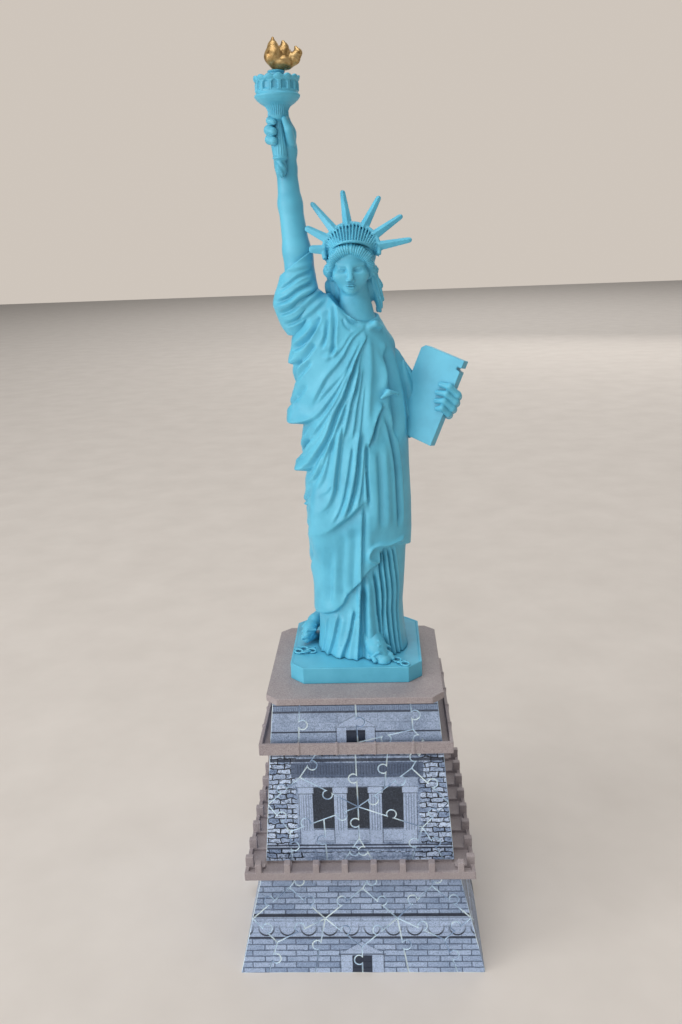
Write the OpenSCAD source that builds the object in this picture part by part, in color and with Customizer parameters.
// Miniature landmark model: a jigsaw-clad pedestal, two ledge frames, a top
// platform that lifts off, and a robed figure with a torch that lifts off it.
// Origin at the middle of the bottom edge, +Z up, the front faces -Y.

/* [Pedestal] */
// Width across the bottom edge
base_w = 106; // [104:0.5:108]
// Wall thickness of the jigsaw pieces
piece_t = 2; // [1.6:0.1:2.4]
// Gap left around every jigsaw piece
piece_gap = 0.05; // [0.03:0.01:0.1]
// Radius of the round jigsaw knobs
knob_r = 2; // [1.6:0.1:2.2]
// How far a knob's centre stands off its cut line
knob_out = 1.4; // [1.2:0.1:1.5]

/* [Ledges] */
// Width of the lower ledge
lower_ledge_w = 98.2; // [97:0.5:100]
// Thickness of the lower ledge
lower_ledge_t = 3.6; // [3:0.2:4]
// Number of posts along each side of the lower ledge
post_count = 8; // [6:1:10]
// Width of the upper ledge
upper_ledge_w = 81.2; // [80:0.5:83]
// Height of the upper ledge's rim
upper_ledge_h = 5; // [4:0.2:6]

/* [Platform] */
// Width of the top platform
platform_w = 74.4; // [73:0.2:76]
// Thickness of the top platform
platform_t = 3; // [2.6:0.1:3.4]
// Height of the platform's upper face above the ground
platform_top = 123.5; // [123.3:0.1:123.7]
// Corner chamfer of the platform
platform_chamfer = 4.8; // [4:0.2:6]

/* [Figure] */
// Width of the figure's own plinth
plinth_w = 56.8; // [55:0.2:58]
// Depth of the figure's own plinth
plinth_d = 55.6; // [54:0.2:57]
// Height of the plinth
plinth_h = 7.2; // [6.8:0.1:7.6]
// Wall thickness of the robe shells
shell_t = 2; // [1.6:0.1:2.4]
// Locating peg radius
peg_r = 2.4; // [2:0.1:2.8]
// Radial play of a locating peg in its hole
peg_play = 0.05; // [0.03:0.01:0.08]
// Height of the flame's tip above the ground
total_h = 380; // [379.5:0.1:380.5]

/* [Hidden] */
$fn = 48;
base_half = base_w / 2;
// A tier is [bottom z, top z, half width at its bottom, half width at its top].
base_tier = [0, 44.2, base_half, base_half - 10.7];
middle_tier = [47.8, 99.3, 40.7, 36.6];
top_tier = [100.9, platform_top - platform_t, 36.4, 34.5];
far = 200;
over = 1.15;
min_knob_edge = 8;

// Cut patterns. A point is [share of the half width, share of the slant height].
// A piece is a list of point numbers, anticlockwise; a corner piece is folded
// over the pedestal's edge and has one list on each face.
base_points = [
  [-0.8, -0.3], [-0.42, -0.3], [0, -0.3], [0.4, -0.3], [0.82, -0.3],
  [-0.74, 0.3], [0, 0.25], [0.72, 0.32],
  [-1, 0.53], [-0.33, 0.53], [0.33, 0.53], [1, 0.53],
  [-0.7, 0.83], [0.02, 0.82], [0.7, 0.84],
  [-0.42, 1.2], [0.3, 1.2], [0.86, 1.2],
  [-over, -0.3], [-over, 0.53], [-over, 1.2], [over, -0.3], [over, 0.53], [over, 1.2]
];
base_lower = [[0, 1, 9, 5], [1, 2, 6, 9], [2, 3, 10, 6], [3, 4, 7, 10]];
base_upper = [
  [5, 9, 12, 8], [6, 10, 13, 9], [7, 11, 14, 10],
  [12, 9, 13, 16, 15], [13, 10, 14, 17, 16]
];
base_corner_right = [[4, 21, 22, 11, 7], [11, 22, 23, 17, 14]];
base_corner_left = [[18, 0, 5, 8, 19], [19, 8, 12, 15, 20]];

middle_points = [
  [-0.7, -0.2], [-0.33, -0.2], [0.27, -0.2], [0.46, -0.2], [1.02, -0.2],
  [-0.75, 0.27], [0, 0.2], [0.69, 0.3],
  [-1, 0.52], [-0.38, 0.38], [0, 0.49], [1, 0.52],
  [-0.65, 0.76], [0.3, 0.65], [0.62, 0.83],
  [-0.25, 1.2], [-0.02, 1.2], [0.4, 1.2], [0.95, 1.2],
  [-over, -0.2], [-over, 0.52], [-over, 1.2], [over, -0.2], [over, 0.52], [over, 1.2]
];
middle_lower = [
  [0, 1, 9, 5], [1, 6, 10, 9], [1, 2, 6], [6, 2, 3, 7, 10], [3, 4, 7]
];
middle_upper = [
  [5, 9, 10, 12, 8], [12, 10, 16, 15], [10, 13, 17, 16], [13, 14, 18, 17], [7, 11, 14, 13, 10]
];
middle_corner_right = [[4, 22, 23, 11, 7], [11, 23, 24, 18, 14]];
middle_corner_left = [[19, 0, 5, 8, 20], [20, 8, 12, 15, 21]];

top_points = [
  [-0.67, -0.3], [0, -0.3], [0.95, -0.3], [0.02, 0.08], [0.67, 0.36],
  [-0.67, 1.3], [0, 1.3], [0.67, 1.3],
  [-over, -0.3], [-over, 1.3], [over, -0.3], [over, 1.3]
];
top_pieces = [[0, 1, 3, 6, 5], [3, 4, 7, 6], [1, 2, 4, 3]];
top_corner_right = [[2, 10, 11, 7, 4]];
top_corner_left = [[8, 0, 5, 9]];

plinth_x = 0.5;
plinth_y = 4.2;
plinth_chamfer = 5.9;
plinth_top = platform_top + plinth_h;
peg_x = 18;
hole_inside = 33;
// Robe sections, each [height, centre x, centre y, half width, half depth].
robe = [
  [plinth_top, 2, 2, 21.5, 18.5], [150, 2.6, 3, 20.6, 16.5], [165, 3.8, 3.5, 21, 16],
  [185, 3.6, 4, 23, 16], [210, 2, 4, 23.5, 15.5], [235, 0.8, 4, 23.5, 14.5],
  [255, -1, 4, 22.3, 13.5], [268, -2.5, 4, 20.5, 12.5], [277, -1.5, 4, 16, 10.5],
  [283, 3, 3.5, 9, 8.5]
];
head_sections = [
  [274, 4.4, 3.5, 5.8, 5.8], [284, 4.2, 3, 5.4, 5.8], [287, 3.5, 1.5, 5.4, 7.5],
  [292, 3.4, 1.5, 6.9, 9.2], [298, 3.6, 2, 7.6, 10], [304, 3.8, 2.5, 7.4, 9.6],
  [308, 3.8, 3, 5.2, 7], [310, 3.8, 3, 2, 3]
];
crown_at = [3.8, -1, 301];
crown_tilt = 25;
crown_bore_r = 9.3;
crown_r = 11.9;
// How far each ray's tip stands from the crown's axis; the last two stop short of the arm.
ray_tip_r = [24.4, 25.1, 25.8, 26.3, 26.6, 20.4, 15.8];
ray_at = [9.5, 35, 63, 97, 126.5, 149.5, 174.5];
band_mid = 93;
// Balls of the limbs, each [centre, radius].
shoulder = [[-19.5, 6, 284], 8.5];
sleeve_end = [[-18.6, 6, 296], 6.3];
upper_arm = [[-18.4, 6.5, 297], 6];
wrist = [[-21.2, 8.4, 334], 4.2];
fist = [[-22.6, 3.2, 346], 5.2];
left_elbow = [[22, 9, 245], 6];
left_wrist = [[38, 10.5, 239], 4];
left_fingers = [[45, 6, 240], 3.2];
sleeve_fold = [[25, 8, 241], 4];
sleeve_tip = [[25.5, 6, 224], 2.2];
torch_x = -22.8;
torch_y = 1.5;
torch_r = 2.5;
flame_x = -20.2;
tablet_at = [34, 3, 242];
tablet_size = [20, 4.8, 37.5];
tablet_lean = 22;
tablet_turn = -28;

// ---- plane geometry of the jigsaw pieces ----
function slant(t) = norm([t[1] - t[0], t[2] - t[3]]);
function tilt(t) = atan2(t[2] - t[3], t[1] - t[0]);
function on_face(t, p) = [p[0] * (t[2] + (t[3] - t[2]) * p[1]), p[1] * slant(t)];
function unit(v) = v / norm(v);
function left_of(v) = [-v[1], v[0]];
function face_points(t, pts, ids) = [for (i = ids) on_face(t, pts[i])];
// Outline moved inwards by g on every side; the points run anticlockwise.
function inset(poly, g) = let (n = len(poly))
  [for (i = [0:n - 1])
    let (a = left_of(unit(poly[i] - poly[(i + n - 1) % n])),
         b = left_of(unit(poly[(i + 1) % n] - poly[i])))
    poly[i] + g * (a + b) / (1 + a * b)];
// A cut line carries a knob when it is long enough and lies inside the face.
function is_fold(p) = abs(p[0]) >= 1;
function has_knob(t, pts, a, b) = let (pa = pts[a], pb = pts[b])
  !(is_fold(pa) && is_fold(pb))
  && !(pa[1] < 0 && pb[1] < 0) && !(pa[1] > 1 && pb[1] > 1)
  && norm(on_face(t, pa) - on_face(t, pb)) > min_knob_edge;
// The knob sits in the middle of the stretch that lies inside the face.
function inside_v(v) = max(0, min(1, v));
function edge_part(pa, pb, v) = abs(pb[1] - pa[1]) < 0.01 ? pa
  : pa + (pb - pa) * (v - pa[1]) / (pb[1] - pa[1]);
function knob_mid(t, pts, a, b) = let (pa = pts[a], pb = pts[b])
  (on_face(t, edge_part(pa, pb, inside_v(pa[1])))
   + on_face(t, edge_part(pb, pa, inside_v(pb[1])))) / 2;
// Knobs point to the left of the line from the lower to the higher point
// number when the two numbers add up to an even number.
function knob_side(a, b) = ((a + b) % 2 == 0) ? 1 : -1;
function knob_at(t, pts, a, b) = let (lo = min(a, b), hi = max(a, b),
  d = unit(on_face(t, pts[hi]) - on_face(t, pts[lo])))
  knob_mid(t, pts, a, b) + knob_side(a, b) * knob_out * left_of(d);
function owns_knob(a, b) = (a < b) != (knob_side(a, b) > 0);

module piece_outline(t, pts, ids) {
  n = len(ids);
  difference() {
    union() {
      polygon(inset(face_points(t, pts, ids), piece_gap));
      for (i = [0:n - 1])
        if (has_knob(t, pts, ids[i], ids[(i + 1) % n]) && owns_knob(ids[i], ids[(i + 1) % n]))
          translate(knob_at(t, pts, ids[i], ids[(i + 1) % n])) circle(knob_r, $fn = 24);
    }
    for (i = [0:n - 1])
      if (has_knob(t, pts, ids[i], ids[(i + 1) % n]) && !owns_knob(ids[i], ids[(i + 1) % n]))
        translate(knob_at(t, pts, ids[i], ids[(i + 1) % n]))
          circle(knob_r + 2 * piece_gap, $fn = 24);
  }
}

// The quarter of the tier that one face owns, mitred at the corners.
module face_quarter(t) {
  translate([0, 0, t[0]])
    linear_extrude(t[1] - t[0])
      polygon([[0, 0], [-far, -far], [far, -far]]);
}

module face_piece(t, pts, ids) {
  intersection() {
    translate([0, -t[2], t[0]])
      rotate([90 - tilt(t), 0, 0])
        translate([0, 0, -piece_t])
          linear_extrude(piece_t)
            piece_outline(t, pts, ids);
    face_quarter(t);
  }
}

module face_group(t, pts, pieces, side) {
  color("lightsteelblue")
    rotate([0, 0, 90 * side])
      for (ids = pieces) face_piece(t, pts, ids);
}

// Pieces folded over the edge between one face and the next.
module corner_group(t, pts, rights, lefts, side) {
  color("lightslategray")
    rotate([0, 0, 90 * side])
      for (i = [0:len(rights) - 1])
        union() {
          face_piece(t, pts, rights[i]);
          rotate([0, 0, 90]) face_piece(t, pts, lefts[i]);
        }
}

module base_lower_side(side) { face_group(base_tier, base_points, base_lower, side); }
module base_upper_side(side) { face_group(base_tier, base_points, base_upper, side); }
module base_corner(side) {
  corner_group(base_tier, base_points, base_corner_right, base_corner_left, side);
}
module middle_lower_side(side) { face_group(middle_tier, middle_points, middle_lower, side); }
module middle_upper_side(side) { face_group(middle_tier, middle_points, middle_upper, side); }
module middle_corner(side) {
  corner_group(middle_tier, middle_points, middle_corner_right, middle_corner_left, side);
}
module top_side(side) { face_group(top_tier, top_points, top_pieces, side); }
module top_corner(side) {
  corner_group(top_tier, top_points, top_corner_right, top_corner_left, side);
}

// ---- ledges and platform ----
module square_ring(outer, inner, h) {
  linear_extrude(h)
    difference() {
      square(outer, center = true);
      square(inner, center = true);
    }
}

module lower_ledge() {
  rim = 1.6;
  floor_t = 2;
  post = [2.6, 3.4, 6.4];
  rib_h = 1.4;
  z0 = base_tier[1];
  half = lower_ledge_w / 2;
  pitch = lower_ledge_w / post_count;
  rib_l = half - rim - middle_tier[2];
  color("rosybrown")
    translate([0, 0, z0]) {
      square_ring(lower_ledge_w, 2 * hole_inside, floor_t);
      square_ring(lower_ledge_w, lower_ledge_w - 2 * rim, lower_ledge_t);
      square_ring(2 * middle_tier[2] - 1, 2 * hole_inside, middle_tier[0] - z0);
      for (side = [0:3], i = [0:post_count - 1])
        rotate([0, 0, 90 * side])
          translate([-half + (i + 0.5) * pitch - post[0] / 2, -half, floor_t - 0.5]) {
            cube(post);
            cube([post[0], rim + rib_l, rib_h + 0.5]);
          }
    }
}

module upper_ledge() {
  rim = 1.4;
  floor_t = top_tier[0] - middle_tier[1];
  rib_w = 0.9;
  rib_out = 0.35;
  rib_pitch = 16;
  color("rosybrown")
    translate([0, 0, middle_tier[1]]) {
      square_ring(upper_ledge_w, 2 * (hole_inside - 1), floor_t);
      square_ring(upper_ledge_w, upper_ledge_w - 2 * rim, upper_ledge_h);
      for (side = [0:3], i = [-1.5:1:1.5])
        rotate([0, 0, 90 * side])
          translate([i * rib_pitch - rib_w / 2, -upper_ledge_w / 2 - rib_out, 0])
            cube([rib_w, rib_out + rim, upper_ledge_h + rib_out]);
    }
}

module chamfered_square(w, d, c) {
  polygon([
    [c - w / 2, -d / 2], [w / 2 - c, -d / 2], [w / 2, c - d / 2], [w / 2, d / 2 - c],
    [w / 2 - c, d / 2], [c - w / 2, d / 2], [-w / 2, d / 2 - c], [-w / 2, c - d / 2]
  ]);
}

module at_pegs() {
  for (side = [-1, 1])
    translate([plinth_x + side * peg_x, plinth_y, 0]) children();
}

module top_platform() {
  lip_h = 4;
  lip_t = 1.5;
  lip_w = 2 * (top_tier[3] - piece_t - 0.5);
  color("rosybrown")
    difference() {
      union() {
        translate([0, 0, platform_top - platform_t])
          linear_extrude(platform_t) chamfered_square(platform_w, platform_w, platform_chamfer);
        translate([0, 0, platform_top - platform_t - lip_h])
          square_ring(lip_w, lip_w - 2 * lip_t, lip_h + 1);
      }
      at_pegs()
        translate([0, 0, platform_top - platform_t - 1])
          cylinder(r = peg_r + peg_play, h = platform_t + 2);
    }
}

// ---- figure ----
function ring(s, n) =
  [for (i = [0:n - 1]) [s[1] + s[3] * cos(360 * i / n), s[2] + s[4] * sin(360 * i / n), s[0]]];

// Solid through a stack of elliptical sections.
module loft(sections, n = 32) {
  m = len(sections);
  polyhedron(
    [for (s = sections) each ring(s, n)],
    concat(
      [[for (i = [0:n - 1]) i]],
      [for (k = [0:m - 2], i = [0:n - 1])
        [k * n + i, (k + 1) * n + i, (k + 1) * n + (i + 1) % n, k * n + (i + 1) % n]],
      [[for (i = [n - 1:-1:0]) (m - 1) * n + i]]
    )
  );
}

// One C-shaped section of a half shell; facing is 1 for the front, -1 for the back.
function half_ring(s, facing, n) = concat(
  [for (i = [0:n]) let (a = facing > 0 ? 180 + 180 * i / n : 180 * i / n)
    [s[1] + s[3] * cos(a), s[2] + s[4] * sin(a) - facing * piece_gap, s[0]]],
  [for (i = [n:-1:0]) let (a = facing > 0 ? 180 + 180 * i / n : 180 * i / n)
    [s[1] + (s[3] - shell_t) * cos(a), s[2] + (s[4] - shell_t) * sin(a) - facing * piece_gap, s[0]]]
);

module half_shell(sections, facing) {
  n = 16;
  c = 2 * (n + 1);
  m = len(sections);
  polyhedron(
    [for (s = sections) each half_ring(s, facing, n)],
    concat(
      [for (i = [0:n - 1]) [i, i + 1, c - 2 - i, c - 1 - i]],
      [for (k = [0:m - 2], i = [0:c - 1])
        [k * c + i, (k + 1) * c + i, (k + 1) * c + (i + 1) % c, k * c + (i + 1) % c]],
      [for (i = [0:n - 1]) let (b = (m - 1) * c) [b + c - 1 - i, b + c - 2 - i, b + i + 1, b + i]]
    )
  );
}

module figure_plinth() {
  foot = [4.5, 12, 4];
  foot_at = [-24, 7];
  color("skyblue") {
    translate([plinth_x, plinth_y, platform_top])
      linear_extrude(plinth_h) chamfered_square(plinth_w, plinth_d, plinth_chamfer);
    at_pegs()
      translate([0, 0, platform_top - platform_t + 0.2])
        cylinder(r = peg_r, h = platform_t + 1);
    translate([foot_at[0], foot_at[1], plinth_top - 0.1])
      cube(foot);
  }
}

module robe_front_shell() { color("skyblue") half_shell(robe, 1); }
module robe_back_shell() { color("deepskyblue") half_shell(robe, -1); }

// Rounded limb from one ball to another; a ball is [place, radius].
module limb(a, b) {
  hull() {
    translate(a[0]) sphere(a[1], $fn = 24);
    translate(b[0]) sphere(b[1], $fn = 24);
  }
}

module raised_arm() {
  grip_z = 320;
  grip_h = 40;
  grip_play = 0.05;
  color("skyblue")
    difference() {
      union() {
        limb(shoulder, sleeve_end);
        limb(upper_arm, wrist);
        limb(wrist, fist);
      }
      translate([torch_x, torch_y, grip_z]) cylinder(r = torch_r + grip_play, h = grip_h);
    }
}

module left_arm() {
  color("skyblue") {
    limb(left_elbow, left_wrist);
    limb(left_wrist, left_fingers);
    limb(sleeve_fold, sleeve_tip);
  }
}

module head() {
  color("skyblue") {
    loft(head_sections);
    translate(crown_at)
      rotate([90 - crown_tilt, 0, 0])
        translate([0, 0, -2]) cylinder(r = crown_bore_r - 0.05, h = 4);
  }
}

module crown() {
  band_back = -2.3;
  band_step = 0.7;
  band_front = 2.3;
  band_angle = 220;
  front_r = 10.4;
  ray_back = -1.4;
  ray_t = 1.6;
  ray_root_r = 10.2;
  ray_root_w = 3.6;
  ray_tip_w = 1.8;
  color("skyblue")
    translate(crown_at)
      rotate([90 - crown_tilt, 0, 0])
        union() {
          rotate([0, 0, band_mid - band_angle / 2])
            rotate_extrude(angle = band_angle)
              polygon([
                [crown_bore_r, band_back], [crown_r, band_back], [crown_r, band_step],
                [front_r, band_step], [front_r, band_front], [crown_bore_r, band_front]
              ]);
          for (i = [0:len(ray_tip_r) - 1])
            rotate([0, 0, ray_at[i]])
              translate([0, 0, ray_back])
                linear_extrude(ray_t)
                  polygon([
                    [ray_root_r, -ray_root_w / 2], [ray_tip_r[i], -ray_tip_w / 2],
                    [ray_tip_r[i], ray_tip_w / 2], [ray_root_r, ray_root_w / 2]
                  ]);
        }
}

module torch() {
  color("skyblue")
    translate([torch_x, torch_y, 0])
      rotate_extrude()
        polygon([
          [0, 329.5], [1.6, 330.5], [2.4, 333], [1.6, 335.5], [torch_r, 337], [torch_r, 349],
          [3.3, 352], [4.4, 355], [6.4, 356.6], [8.2, 358.2], [8.4, 359.4], [8.4, 365.4],
          [7.5, 365.4], [7.5, 361], [2.7, 361], [2.6, 368], [0, 368]
        ]);
}

module flame() {
  color("gold")
    translate([flame_x, torch_y, 0])
      rotate_extrude()
        polygon([
          [0, 368.05], [3.2, 368.4], [5.8, 370.4], [6.9, 373], [6.2, 375.6], [4, 378.2],
          [1.2, total_h], [0, total_h]
        ]);
}

module tablet() {
  notch = [2.4, 6, 1.6];
  notch_drop = 3.4;
  color("skyblue")
    translate(tablet_at)
      rotate([0, tablet_lean, 0])
        rotate([0, 0, tablet_turn])
          difference() {
            translate(-tablet_size / 2) cube(tablet_size);
            translate([tablet_size[0] / 2, 0, tablet_size[2] / 2 - notch_drop - notch[2] / 2])
              cube(notch, center = true);
          }
}

base_lower_side(0);  // base_front_lower_pieces
base_upper_side(0);  // base_front_upper_pieces
base_lower_side(1);  // base_right_lower_pieces
base_upper_side(1);  // base_right_upper_pieces
base_lower_side(2);  // base_back_lower_pieces
base_upper_side(2);  // base_back_upper_pieces
base_lower_side(3);  // base_left_lower_pieces
base_upper_side(3);  // base_left_upper_pieces
base_corner(0);  // base_corner_pieces_1
base_corner(1);  // base_corner_pieces_2
base_corner(2);  // base_corner_pieces_3
base_corner(3);  // base_corner_pieces_4
middle_lower_side(0);  // middle_front_lower_pieces
middle_upper_side(0);  // middle_front_upper_pieces
middle_lower_side(1);  // middle_right_lower_pieces
middle_upper_side(1);  // middle_right_upper_pieces
middle_lower_side(2);  // middle_back_lower_pieces
middle_upper_side(2);  // middle_back_upper_pieces
middle_lower_side(3);  // middle_left_lower_pieces
middle_upper_side(3);  // middle_left_upper_pieces
middle_corner(0);  // middle_corner_pieces_1
middle_corner(1);  // middle_corner_pieces_2
middle_corner(2);  // middle_corner_pieces_3
middle_corner(3);  // middle_corner_pieces_4
top_side(0);  // top_front_pieces
top_side(1);  // top_right_pieces
top_side(2);  // top_back_pieces
top_side(3);  // top_left_pieces
top_corner(0);  // top_corner_piece_1
top_corner(1);  // top_corner_piece_2
top_corner(2);  // top_corner_piece_3
top_corner(3);  // top_corner_piece_4
lower_ledge();
upper_ledge();
top_platform();
figure_plinth();
robe_front_shell();
robe_back_shell();
raised_arm();
left_arm();
head();
crown();
torch();
flame();
tablet();
